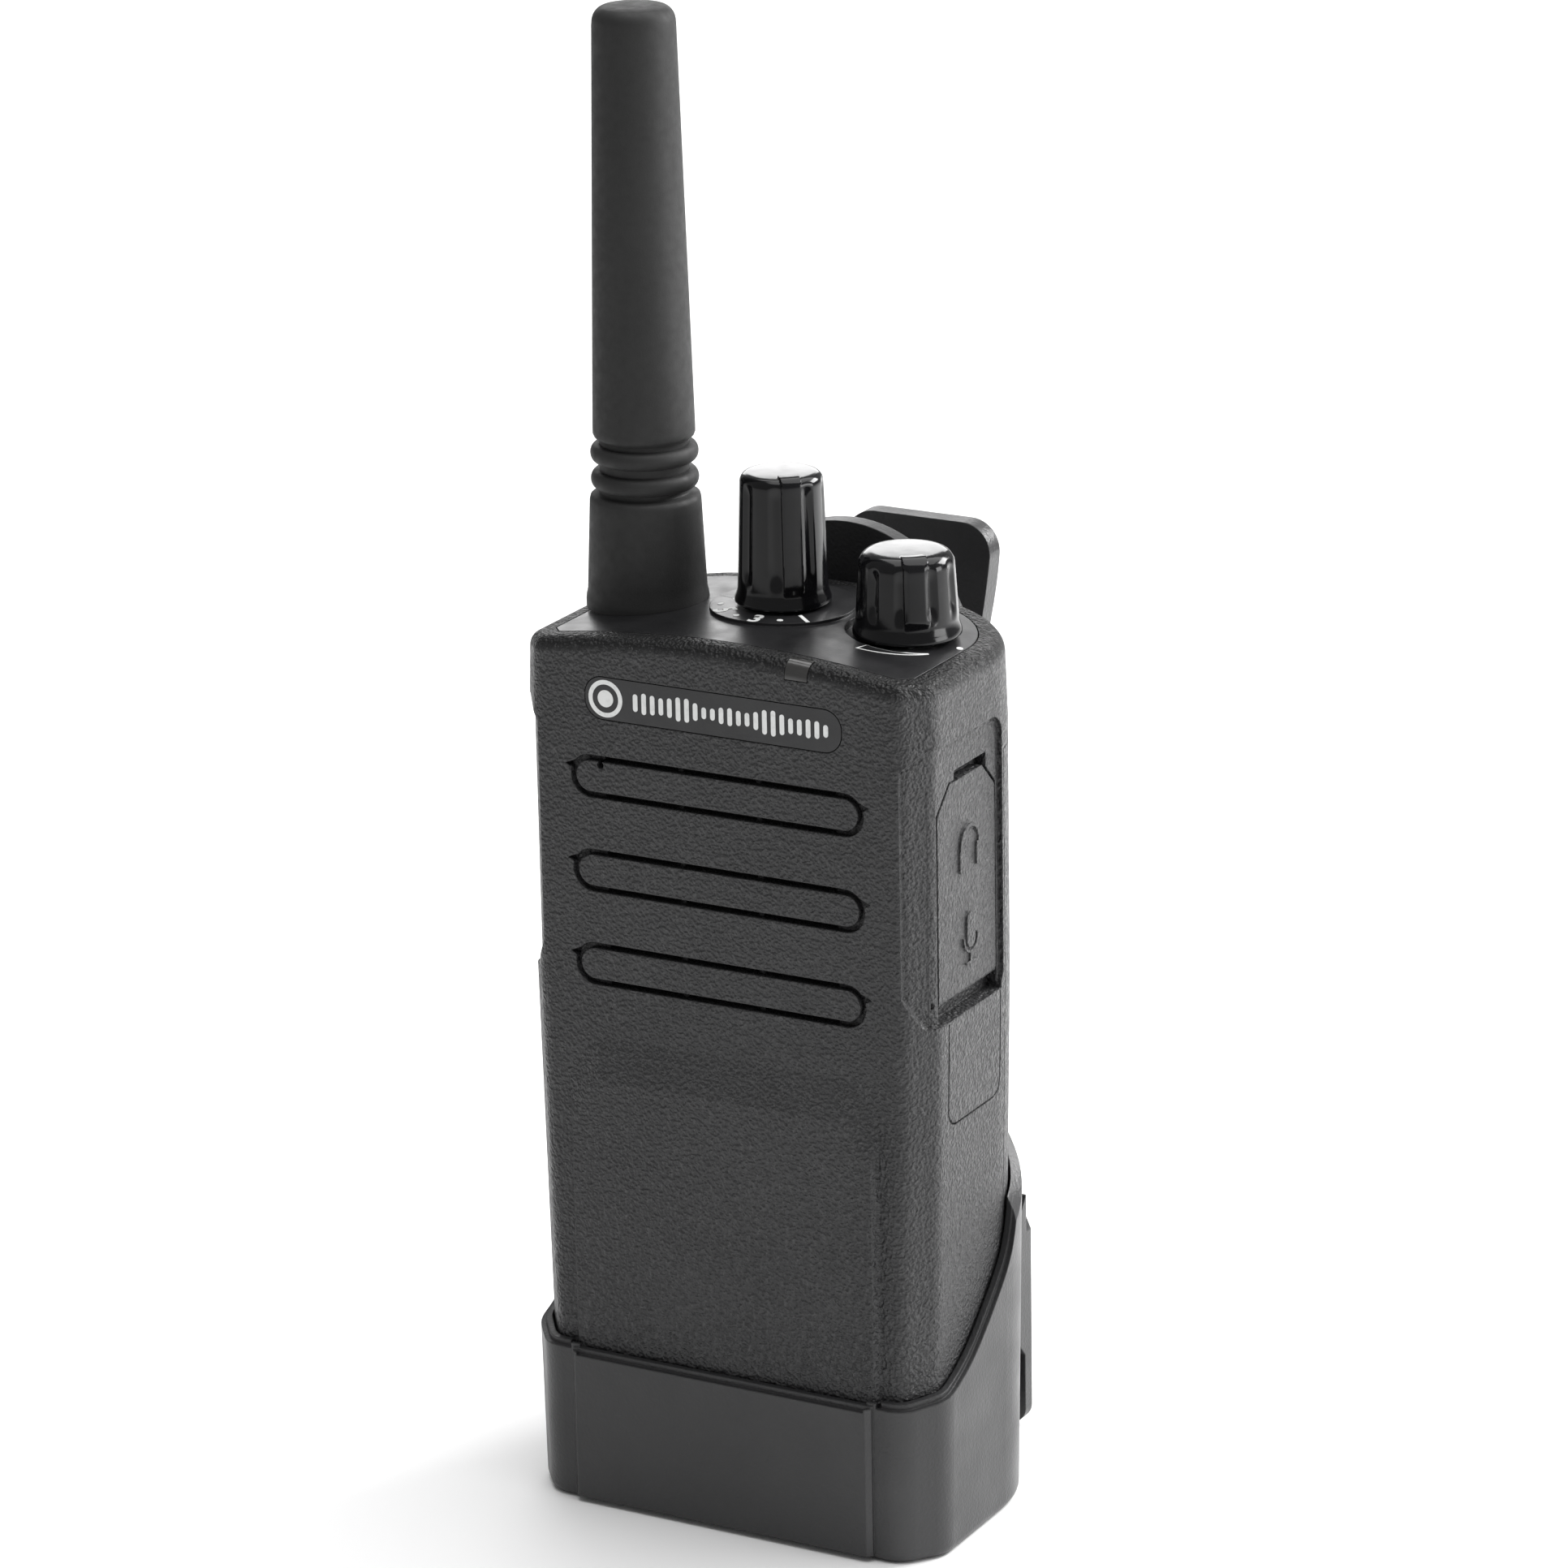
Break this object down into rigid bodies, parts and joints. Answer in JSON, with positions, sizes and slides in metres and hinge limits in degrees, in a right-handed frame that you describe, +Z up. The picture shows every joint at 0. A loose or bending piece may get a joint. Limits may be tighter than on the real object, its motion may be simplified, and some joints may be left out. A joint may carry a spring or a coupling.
{
  "type": "portable radio",
  "caption": "Hand-held two-way radio with rubber antenna and top knobs, seated in a belt holster with a swivel spring clip.",
  "frame": {"origin": "centre of the flat face that the holster stands on", "axes": "+Z up along the antenna, +X to the right seen from the front, front towards -Y"},
  "size_m": [0.0572, 0.057, 0.1826],
  "materials": {
    "housing_plastic": "fine spark-eroded grain, black",
    "deck_plastic": "semi-gloss black",
    "knob_plastic": "polished black",
    "antenna_rubber": "matte black",
    "black_rubber": "soft black",
    "holster_plastic": "satin black",
    "label_plastic": "smooth black",
    "lamp_lens": "smoky translucent",
    "marking_white": "printed white",
    "felt": "black felt",
    "steel": "plain",
    "spring_steel": "oiled",
    "cast_alloy": "die cast",
    "brass": "plated",
    "board_green": "solder mask",
    "speaker_metal": "black paint",
    "cell_wrap": "shrink wrap"
  },
  "bodies": {
    "holster": {"holster_cup": "holster_plastic", "swivel_post": "holster_plastic", "swivel_washer": "steel", "swivel_screw": "steel"},
    "radio": {"front_housing": "housing_plastic", "battery_case": "housing_plastic", "battery_lid": "housing_plastic", "control_deck": "deck_plastic", "label_plate": "label_plastic", "led_lens": "lamp_lens", "dust_felt": "felt", "speaker": "speaker_metal", "speaker_gasket": "black_rubber", "microphone": "steel", "microphone_boot": "black_rubber", "button_keypad": "black_rubber", "accessory_sockets": "deck_plastic", "chassis": "cast_alloy", "main_board": "board_green", "shield_cans": "steel", "main_seal": "black_rubber", "chassis_screws": "steel", "channel_switch": "deck_plastic", "volume_control": "deck_plastic", "control_nuts": "steel", "antenna_sheath": "antenna_rubber", "antenna_core": "spring_steel", "antenna_socket": "brass", "battery_cell": "cell_wrap", "battery_contacts": "brass", "latch_spring": "spring_steel"},
    "channel_control": {"channel_knob": "knob_plastic", "channel_shaft": "brass"},
    "volume_control_knob": {"volume_knob": "knob_plastic", "volume_shaft": "brass"},
    "ptt": {"ptt_button": "black_rubber"},
    "upper_key": {"side_button_upper": "black_rubber"},
    "lower_key": {"side_button_lower": "black_rubber"},
    "socket_cover": {"accessory_cover": "housing_plastic"},
    "latch": {"battery_latch": "housing_plastic"},
    "clip": {"clip_base": "holster_plastic", "clip_pin": "steel", "clip_spring": "spring_steel"},
    "lever": {"clip_lever": "holster_plastic"}
  },
  "joints": [
    {"name": "radio_lift", "type": "slide", "parent": "holster", "child": "radio", "axis": [0, 0, 1], "range_m": [0, 0.12]},
    {"name": "channel_turn", "type": "hinge", "parent": "radio", "child": "channel_control", "pos_m": [-0.00095, 0.003, 0.115], "axis": [0, 0, 1], "range_deg": [-157.5, 0]},
    {"name": "volume_turn", "type": "hinge", "parent": "radio", "child": "volume_control_knob", "pos_m": [0.0161, 0.0022, 0.115], "axis": [0, 0, 1], "range_deg": [-215, 55]},
    {"name": "ptt_press", "type": "slide", "parent": "radio", "child": "ptt", "axis": [1, 0, 0], "range_m": [0, 0.0005], "stiffness_N_per_m": 4000},
    {"name": "upper_key_press", "type": "slide", "parent": "radio", "child": "upper_key", "axis": [1, 0, 0], "range_m": [0, 0.0005], "stiffness_N_per_m": 3000},
    {"name": "lower_key_press", "type": "slide", "parent": "radio", "child": "lower_key", "axis": [1, 0, 0], "range_m": [0, 0.0005], "stiffness_N_per_m": 3000},
    {"name": "cover_open", "type": "hinge", "parent": "radio", "child": "socket_cover", "pos_m": [0.02615, 0, 0.0701], "axis": [0, 1, 0], "range_deg": [0, 95]},
    {"name": "latch_slide", "type": "slide", "parent": "radio", "child": "latch", "axis": [0, 0, 1], "range_m": [0, 0.002], "stiffness_N_per_m": 800, "deforming": ["latch_spring"]},
    {"name": "clip_swivel", "type": "hinge", "parent": "holster", "child": "clip", "pos_m": [0, 0.0193, 0.086], "axis": [0, 1, 0], "continuous": true},
    {"name": "clip_open", "type": "hinge", "parent": "clip", "child": "lever", "pos_m": [0, 0.023, 0.07], "axis": [1, 0, 0], "range_deg": [0, 9], "stiffness_Nm_per_rad": 1.5}
  ]
}
